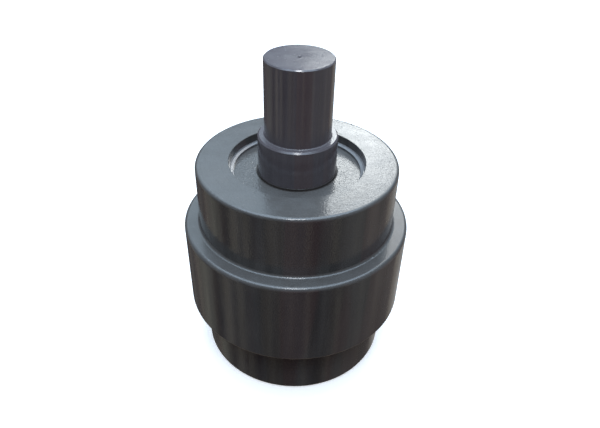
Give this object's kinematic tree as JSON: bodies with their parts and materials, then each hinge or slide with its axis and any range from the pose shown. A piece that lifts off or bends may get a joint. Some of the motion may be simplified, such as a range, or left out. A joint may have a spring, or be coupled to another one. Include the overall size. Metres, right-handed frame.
{
  "type": "track roller",
  "caption": "Cylindrical steel roller with a raised centre rim and a stepped shaft at one end, sealed and oil filled.",
  "frame": {"origin": "centre of the lower end face of the shell, on the roller axis", "axes": "+Z along the roller axis, from the closed end towards the free end of the shaft; +Y towards the openings of the snap rings and the dowel pin; +X completes the right-handed frame"},
  "size_m": [0.234, 0.234, 0.332],
  "materials": {
    "grey_paint": "gloss dark grey paint over turned steel",
    "bush_bronze": "turned bronze",
    "black_rubber": "moulded",
    "seal_iron": "cast, with a lapped face",
    "bare_steel": "turned",
    "black_steel": "black oxide",
    "copper": "pressed soft copper"
  },
  "bodies": {
    "shaft_group": {"shaft": "grey_paint", "seal_collar": "bare_steel", "collar_o_ring": "black_rubber", "collar_dowel_pin": "bare_steel", "fixed_seal_ring": "seal_iron", "fixed_toric_ring": "black_rubber", "thrust_plate": "bare_steel", "thrust_plate_bolts": "black_steel", "bolt_spring_washers": "black_steel"},
    "roller_group": {"roller_shell": "grey_paint", "centre_rim": "grey_paint", "upper_bush": "bush_bronze", "lower_bush": "bush_bronze", "seal_cover": "grey_paint", "seal_cover_o_ring": "black_rubber", "seal_cover_snap_ring": "grey_paint", "dust_lip": "black_rubber", "rotating_seal_ring": "seal_iron", "rotating_toric_ring": "black_rubber", "end_cover": "grey_paint", "end_cover_o_ring": "black_rubber", "end_cover_snap_ring": "grey_paint", "oil_plug": "grey_paint", "oil_plug_washer": "copper"}
  },
  "joints": [
    {"name": "roller_spin", "type": "hinge", "parent": "shaft_group", "child": "roller_group", "pos_m": [0, 0, 0.1], "axis": [0, 0, 1], "continuous": true}
  ]
}
